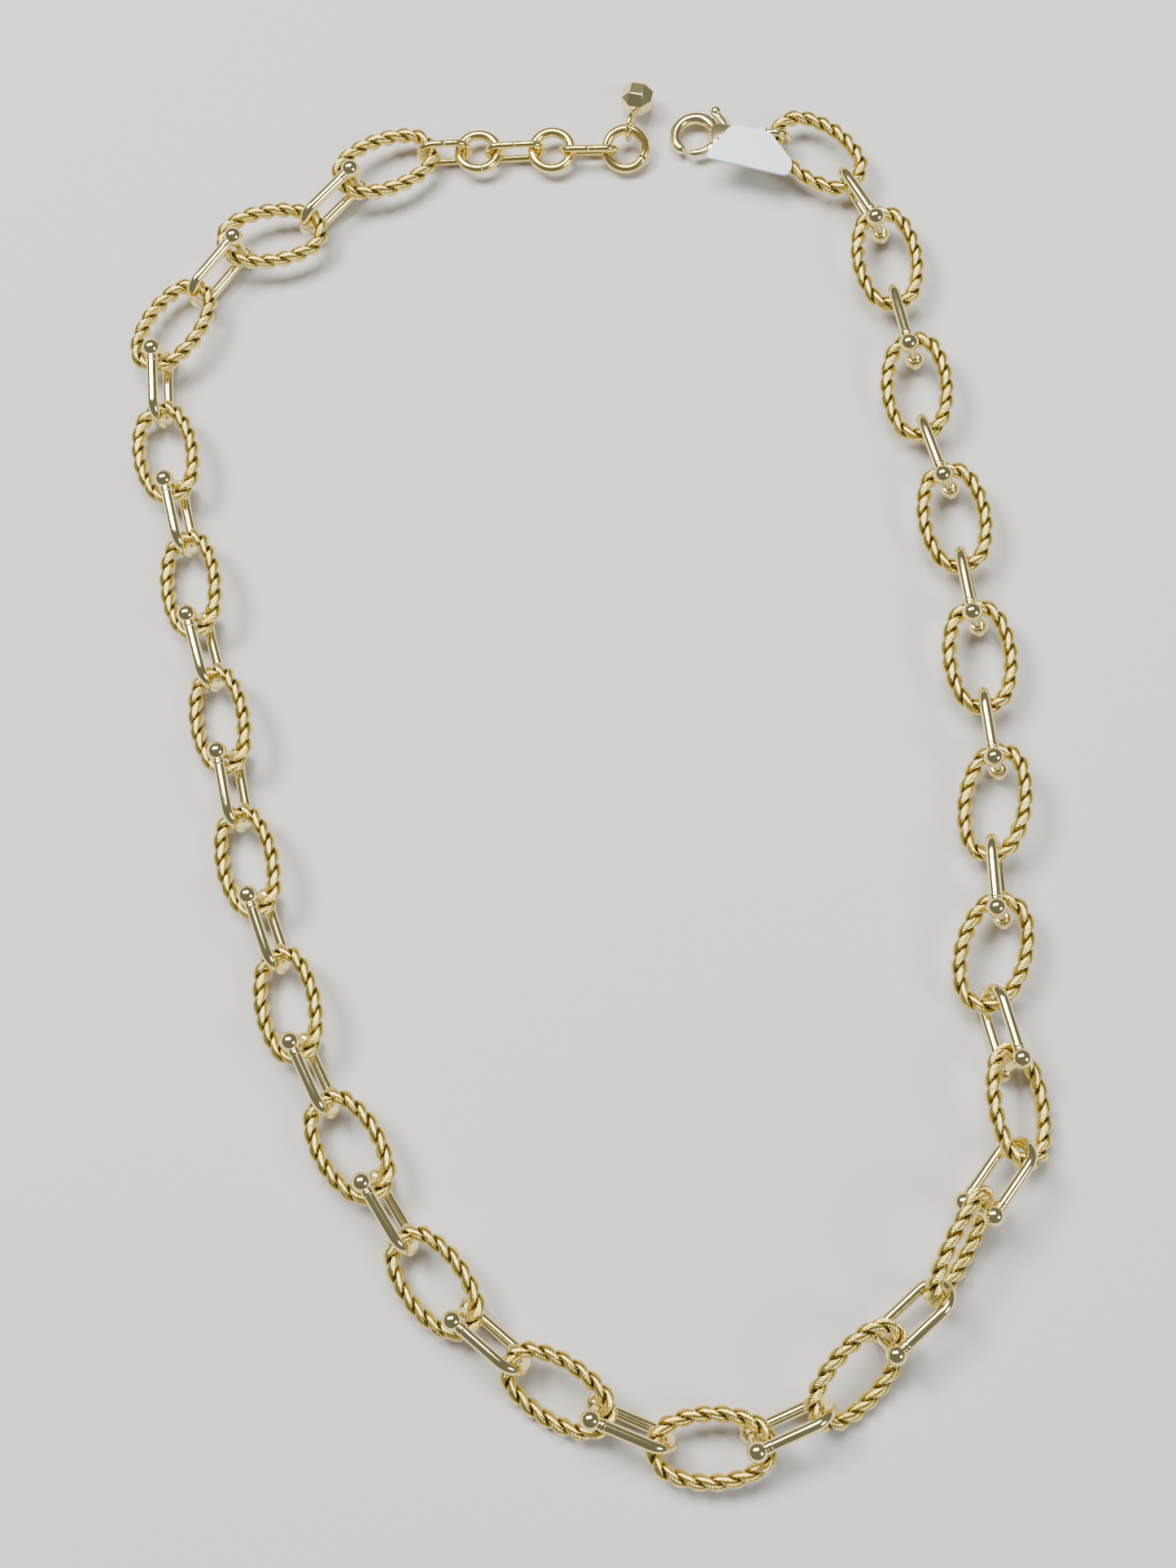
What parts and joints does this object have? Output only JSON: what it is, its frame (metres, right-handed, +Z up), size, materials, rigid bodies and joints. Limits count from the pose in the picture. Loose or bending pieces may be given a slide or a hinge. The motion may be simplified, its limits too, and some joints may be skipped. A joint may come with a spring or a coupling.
{
  "type": "chain necklace",
  "caption": "Gold-tone statement chain necklace: rope-twist oval links joined by ball-ended shackles, with a lobster clasp, ring extender, faceted charm and blank tag.",
  "frame": {"origin": "centre of the bounding box on the table the necklace lies on, Z = 0 at the table", "axes": "+Z up from the table, +Y from the front of the loop towards the clasp and extender, +X towards the clasp's side of the chain"},
  "size_m": [0.1283, 0.2028, 0.0106],
  "materials": {
    "rope_gold": "twisted wire, pale gold plate, darker in the grooves",
    "polished_gold": "polished pale gold plate",
    "extender_gold": "polished pale gold plate",
    "clasp_gold": "polished pale gold plate",
    "spring_steel": "bright spring wire",
    "tag_card": "matt white coated paper, blank"
  },
  "bodies": {
    "rope_link_01": {"rope_link_01": "rope_gold"},
    "rope_link_02": {"rope_link_02": "rope_gold"},
    "rope_link_03": {"rope_link_03": "rope_gold"},
    "rope_link_04": {"rope_link_04": "rope_gold"},
    "rope_link_05": {"rope_link_05": "rope_gold"},
    "rope_link_06": {"rope_link_06": "rope_gold"},
    "rope_link_07": {"rope_link_07": "rope_gold"},
    "rope_link_08": {"rope_link_08": "rope_gold"},
    "rope_link_09": {"rope_link_09": "rope_gold"},
    "rope_link_10": {"rope_link_10": "rope_gold"},
    "rope_link_11": {"rope_link_11": "rope_gold"},
    "rope_link_12": {"rope_link_12": "rope_gold"},
    "rope_link_13": {"rope_link_13": "rope_gold"},
    "rope_link_14": {"rope_link_14": "rope_gold"},
    "rope_link_15": {"rope_link_15": "rope_gold"},
    "rope_link_16": {"rope_link_16": "rope_gold"},
    "rope_link_17": {"rope_link_17": "rope_gold"},
    "rope_link_18": {"rope_link_18": "rope_gold"},
    "rope_link_19": {"rope_link_19": "rope_gold"},
    "rope_link_20": {"rope_link_20": "rope_gold"},
    "rope_link_21": {"rope_link_21": "rope_gold"},
    "rope_link_22": {"rope_link_22": "rope_gold"},
    "shackle_01": {"shackle_01": "polished_gold"},
    "shackle_02": {"shackle_02": "polished_gold"},
    "shackle_03": {"shackle_03": "polished_gold"},
    "shackle_04": {"shackle_04": "polished_gold"},
    "shackle_05": {"shackle_05": "polished_gold"},
    "shackle_06": {"shackle_06": "polished_gold"},
    "shackle_07": {"shackle_07": "polished_gold"},
    "shackle_08": {"shackle_08": "polished_gold"},
    "shackle_09": {"shackle_09": "polished_gold"},
    "shackle_10": {"shackle_10": "polished_gold"},
    "shackle_11": {"shackle_11": "polished_gold"},
    "shackle_12": {"shackle_12": "polished_gold"},
    "shackle_13": {"shackle_13": "polished_gold"},
    "shackle_14": {"shackle_14": "polished_gold"},
    "shackle_15": {"shackle_15": "polished_gold"},
    "shackle_16": {"shackle_16": "polished_gold"},
    "shackle_17": {"shackle_17": "polished_gold"},
    "shackle_18": {"shackle_18": "polished_gold"},
    "shackle_19": {"shackle_19": "polished_gold"},
    "shackle_20": {"shackle_20": "polished_gold"},
    "shackle_21": {"shackle_21": "polished_gold"},
    "extender_jump_link": {"extender_jump_link": "extender_gold"},
    "extender_ring_1": {"extender_ring_1": "extender_gold"},
    "extender_connector_1": {"extender_connector_1": "extender_gold"},
    "extender_ring_2": {"extender_ring_2": "extender_gold"},
    "extender_connector_2": {"extender_connector_2": "extender_gold"},
    "extender_ring_3": {"extender_ring_3": "extender_gold"},
    "charm_ring": {"charm_ring": "extender_gold"},
    "charm": {"charm": "extender_gold"},
    "clasp_jump_link": {"clasp_jump_link": "clasp_gold"},
    "clasp": {"clasp_body": "clasp_gold", "clasp_rivet": "clasp_gold", "clasp_spring": "spring_steel"},
    "clasp_lever": {"clasp_lever": "clasp_gold"},
    "price_tag": {"price_tag": "tag_card"}
  },
  "joints": [
    {"name": "clasp_lever_hinge", "type": "hinge", "parent": "clasp", "child": "clasp_lever", "pos_m": [0.02107, 0.09115, 0.00182], "axis": [-0.0691, 0.0097, 0.9976], "range_deg": [-20, 0], "stiffness_Nm_per_rad": 0.0006},
    {"name": "price_tag_hinge", "type": "hinge", "parent": "clasp_jump_link", "child": "price_tag", "pos_m": [0.02754, 0.09098, 0.00453], "axis": [-0.965, 0.1014, -0.2419], "range_deg": [-7, 40]},
    {"name": "clasp_hinge", "type": "hinge", "parent": "clasp_jump_link", "child": "clasp", "pos_m": [0.02576, 0.0915, 0.00214], "axis": [-0.2551, -0.1478, 0.9556], "range_deg": [-25, 25]},
    {"name": "clasp_jump_hinge", "type": "hinge", "parent": "rope_link_01", "child": "clasp_jump_link", "pos_m": [0.02933, 0.09112, 0.00304], "axis": [0.6649, 0.7418, 0.0871], "range_deg": [0, 5]},
    {"name": "extender_jump_hinge", "type": "hinge", "parent": "rope_link_22", "child": "extender_jump_link", "pos_m": [-0.02159, 0.08985, 0.00277], "axis": [-0.4384, 0.8988, 0], "range_deg": [0, 27]},
    {"name": "extender_hinge_1", "type": "hinge", "parent": "extender_jump_link", "child": "extender_ring_1", "pos_m": [-0.01634, 0.0904, 0.00222], "axis": [0.08, 0.2175, 0.9728], "range_deg": [-25, 25]},
    {"name": "extender_hinge_2", "type": "hinge", "parent": "extender_ring_1", "child": "extender_connector_1", "pos_m": [-0.01195, 0.09009, 0.00222], "axis": [0.0698, 0.9976, 0], "range_deg": [0, 40]},
    {"name": "extender_hinge_3", "type": "hinge", "parent": "extender_connector_1", "child": "extender_ring_2", "pos_m": [-0.00536, 0.09033, 0.00222], "axis": [-0.0061, 0.1735, 0.9848], "range_deg": [0, 17]},
    {"name": "extender_hinge_4", "type": "hinge", "parent": "extender_ring_2", "child": "extender_connector_2", "pos_m": [-0.00096, 0.09017, 0.00222], "axis": [0.0346, 0.9897, 0.1392], "range_deg": [0, 40]},
    {"name": "extender_hinge_5", "type": "hinge", "parent": "extender_connector_2", "child": "extender_ring_3", "pos_m": [0.00564, 0.09017, 0.00222], "axis": [0, 0.3746, -0.9272], "range_deg": [0, 24]},
    {"name": "charm_ring_hinge", "type": "hinge", "parent": "extender_ring_3", "child": "charm_ring", "pos_m": [0.0077, 0.09292, 0.00327], "axis": [-0.9803, 0.172, 0.097], "range_deg": [0, 40]},
    {"name": "charm_hinge", "type": "hinge", "parent": "charm_ring", "child": "charm", "pos_m": [0.00823, 0.09541, 0.00309], "axis": [0.0145, 0.0682, 0.9976], "range_deg": [-30, 30]},
    {"name": "shackle_11_lift", "type": "hinge", "parent": "rope_link_11", "child": "shackle_11", "pos_m": [0.01147, -0.09534, 0.0033], "axis": [0.3816, 0.9075, 0.1758], "range_deg": [0, 40]},
    {"name": "rope_link_12_swing", "type": "hinge", "parent": "shackle_11", "child": "rope_link_12", "pos_m": [0.00379, -0.09224, 0.00395], "axis": [-0.0988, -0.4329, 0.896], "range_deg": [0, 30]},
    {"name": "shackle_12_lift", "type": "hinge", "parent": "rope_link_12", "child": "shackle_12", "pos_m": [-0.0069, -0.0855, 0.00349], "axis": [-0.5518, -0.6431, -0.531], "range_deg": [-40, 0]},
    {"name": "rope_link_13_swing", "type": "hinge", "parent": "shackle_12", "child": "rope_link_13", "pos_m": [-0.01326, -0.08017, 0.00363], "axis": [0.3293, 0.4155, -0.8479], "range_deg": [-30, 0]},
    {"name": "shackle_13_lift", "type": "hinge", "parent": "rope_link_13", "child": "shackle_13", "pos_m": [-0.02112, -0.07027, 0.00334], "axis": [0.7895, 0.4598, 0.4065], "range_deg": [0, 40]},
    {"name": "rope_link_14_swing", "type": "hinge", "parent": "shackle_13", "child": "rope_link_14", "pos_m": [-0.02551, -0.06325, 0.00392], "axis": [-0.2553, -0.2368, 0.9374], "range_deg": [0, 30]},
    {"name": "shackle_14_lift", "type": "hinge", "parent": "rope_link_14", "child": "shackle_14", "pos_m": [-0.03203, -0.05241, 0.00336], "axis": [-0.8626, -0.3963, -0.3143], "range_deg": [-40, 0]},
    {"name": "rope_link_15_swing", "type": "hinge", "parent": "shackle_14", "child": "rope_link_15", "pos_m": [-0.03566, -0.04496, 0.00394], "axis": [0.2487, 0.1951, -0.9487], "range_deg": [-30, 0]},
    {"name": "shackle_15_lift", "type": "hinge", "parent": "rope_link_15", "child": "shackle_15", "pos_m": [-0.03933, -0.03283, 0.0033], "axis": [0.855, 0.2787, 0.4373], "range_deg": [0, 40]},
    {"name": "rope_link_16_swing", "type": "hinge", "parent": "shackle_15", "child": "rope_link_16", "pos_m": [-0.04216, -0.02505, 0.00388], "axis": [-0.299, -0.1786, 0.9374], "range_deg": [0, 30]},
    {"name": "shackle_16_lift", "type": "hinge", "parent": "rope_link_16", "child": "shackle_16", "pos_m": [-0.04557, -0.01286, 0.00329], "axis": [-0.8517, -0.145, -0.5035], "range_deg": [-40, 0]},
    {"name": "rope_link_17_swing", "type": "hinge", "parent": "shackle_16", "child": "rope_link_17", "pos_m": [-0.04729, -0.00476, 0.00387], "axis": [0.353, 0.1411, -0.9249], "range_deg": [-30, 0]},
    {"name": "shackle_17_lift", "type": "hinge", "parent": "rope_link_17", "child": "shackle_17", "pos_m": [-0.0504, 0.00752, 0.00324], "axis": [0.8242, 0.1927, 0.5325], "range_deg": [0, 40]},
    {"name": "rope_link_18_swing", "type": "hinge", "parent": "shackle_17", "child": "rope_link_18", "pos_m": [-0.05268, 0.01547, 0.00389], "axis": [-0.34, -0.1732, 0.9243], "range_deg": [0, 30]},
    {"name": "shackle_18_lift", "type": "hinge", "parent": "rope_link_18", "child": "shackle_18", "pos_m": [-0.05526, 0.0279, 0.00337], "axis": [-0.8639, -0.1815, -0.4699], "range_deg": [-40, 0]},
    {"name": "rope_link_19_swing", "type": "hinge", "parent": "shackle_18", "child": "rope_link_19", "pos_m": [-0.05726, 0.03593, 0.00395], "axis": [0.2838, 0.1391, -0.9487], "range_deg": [-30, 0]},
    {"name": "shackle_19_lift", "type": "hinge", "parent": "rope_link_19", "child": "shackle_19", "pos_m": [-0.05987, 0.04827, 0.00336], "axis": [0.9479, 0.0414, 0.316], "range_deg": [0, 40]},
    {"name": "rope_link_20_swing", "type": "hinge", "parent": "shackle_19", "child": "rope_link_20", "pos_m": [-0.06045, 0.05653, 0.00401], "axis": [-0.236, -0.0928, 0.9673], "range_deg": [0, 30]},
    {"name": "shackle_20_lift", "type": "hinge", "parent": "rope_link_20", "child": "shackle_20", "pos_m": [-0.05474, 0.06755, 0.00345], "axis": [-0.7734, 0.6171, -0.1448], "range_deg": [-40, 0]},
    {"name": "rope_link_21_swing", "type": "hinge", "parent": "shackle_20", "child": "rope_link_21", "pos_m": [-0.04964, 0.07407, 0.00403], "axis": [0.1791, -0.0528, -0.9824], "range_deg": [-30, 0]},
    {"name": "shackle_21_lift", "type": "hinge", "parent": "rope_link_21", "child": "shackle_21", "pos_m": [-0.0387, 0.07906, 0.00342], "axis": [0.7207, -0.6926, -0.0309], "range_deg": [0, 40]},
    {"name": "rope_link_22_swing", "type": "hinge", "parent": "shackle_21", "child": "rope_link_22", "pos_m": [-0.03295, 0.08501, 0.00407], "axis": [-0.1294, 0.0165, 0.9915], "range_deg": [0, 30]},
    {"name": "shackle_10_swing", "type": "hinge", "parent": "rope_link_11", "child": "shackle_10", "pos_m": [0.02376, -0.09577, 0.00369], "axis": [0.175, -0.5022, 0.8469], "range_deg": [-15, 0]},
    {"name": "rope_link_10_lift", "type": "hinge", "parent": "shackle_10", "child": "rope_link_10", "pos_m": [0.03133, -0.0924, 0.00412], "axis": [-0.3365, 0.6705, 0.6613], "range_deg": [-40, 0]},
    {"name": "shackle_09_swing", "type": "hinge", "parent": "rope_link_10", "child": "shackle_09", "pos_m": [0.04042, -0.08374, 0.00456], "axis": [-0.4751, 0.603, -0.6408], "range_deg": [0, 30]},
    {"name": "rope_link_09_lift", "type": "hinge", "parent": "shackle_09", "child": "rope_link_09", "pos_m": [0.04657, -0.07821, 0.00521], "axis": [0.2565, -0.1731, -0.9509], "range_deg": [0, 40]},
    {"name": "shackle_08_swing", "type": "hinge", "parent": "rope_link_09", "child": "shackle_08", "pos_m": [0.05267, -0.0671, 0.00547], "axis": [0.6428, -0.4185, 0.6416], "range_deg": [-12, 0]},
    {"name": "rope_link_08_lift", "type": "hinge", "parent": "shackle_08", "child": "rope_link_08", "pos_m": [0.05754, -0.06039, 0.00496], "axis": [-0.6976, 0.5423, 0.4683], "range_deg": [-40, 0]},
    {"name": "shackle_07_swing", "type": "hinge", "parent": "rope_link_08", "child": "shackle_07", "pos_m": [0.0579, -0.04831, 0.00389], "axis": [-0.3792, -0.1602, -0.9113], "range_deg": [0, 30]},
    {"name": "rope_link_07_lift", "type": "hinge", "parent": "shackle_07", "child": "rope_link_07", "pos_m": [0.05589, -0.04027, 0.00331], "axis": [0.9693, 0.2439, 0.0307], "range_deg": [0, 10]},
    {"name": "shackle_06_swing", "type": "hinge", "parent": "rope_link_07", "child": "shackle_06", "pos_m": [0.05715, -0.028, 0.00406], "axis": [-0.261, 0.0583, 0.9636], "range_deg": [-30, 0]},
    {"name": "rope_link_06_lift", "type": "hinge", "parent": "shackle_06", "child": "rope_link_06", "pos_m": [0.05686, -0.01973, 0.00348], "axis": [-0.9225, -0.0589, -0.3816], "range_deg": [-40, 0]},
    {"name": "shackle_05_swing", "type": "hinge", "parent": "rope_link_06", "child": "shackle_05", "pos_m": [0.05755, -0.00714, 0.00403], "axis": [0.2139, -0.0461, -0.9758], "range_deg": [0, 30]},
    {"name": "rope_link_05_lift", "type": "hinge", "parent": "shackle_05", "child": "rope_link_05", "pos_m": [0.05668, 0.00109, 0.00345], "axis": [0.9945, 0.1047, 0.0018], "range_deg": [0, 40]},
    {"name": "shackle_04_swing", "type": "hinge", "parent": "rope_link_05", "child": "shackle_04", "pos_m": [0.05557, 0.01372, 0.00412], "axis": [-0.2502, 0.0417, 0.9673], "range_deg": [-30, 0]},
    {"name": "rope_link_04_lift", "type": "hinge", "parent": "shackle_04", "child": "rope_link_04", "pos_m": [0.05442, 0.02191, 0.00347], "axis": [-0.9855, -0.1455, -0.0876], "range_deg": [-40, 0]},
    {"name": "shackle_03_swing", "type": "hinge", "parent": "rope_link_04", "child": "shackle_03", "pos_m": [0.0524, 0.03442, 0.00411], "axis": [0.2697, -0.0015, -0.9629], "range_deg": [0, 30]},
    {"name": "rope_link_03_lift", "type": "hinge", "parent": "shackle_03", "child": "rope_link_03", "pos_m": [0.05012, 0.04237, 0.00346], "axis": [0.9333, 0.2855, 0.218], "range_deg": [0, 40]},
    {"name": "shackle_02_swing", "type": "hinge", "parent": "rope_link_03", "child": "shackle_02", "pos_m": [0.04822, 0.05484, 0.00412], "axis": [-0.2193, 0.0318, 0.9751], "range_deg": [-30, 0]},
    {"name": "rope_link_02_lift", "type": "hinge", "parent": "shackle_02", "child": "rope_link_02", "pos_m": [0.0465, 0.06294, 0.00347], "axis": [-0.9781, -0.2082, -0.0037], "range_deg": [-40, 0]},
    {"name": "shackle_01_swing", "type": "hinge", "parent": "rope_link_02", "child": "shackle_01", "pos_m": [0.044, 0.07529, 0.00413], "axis": [0.1896, 0.0133, -0.9818], "range_deg": [0, 30]},
    {"name": "rope_link_01_lift", "type": "hinge", "parent": "shackle_01", "child": "rope_link_01", "pos_m": [0.04012, 0.0826, 0.00347], "axis": [0.8759, 0.4738, 0.0909], "range_deg": [0, 40]}
  ]
}
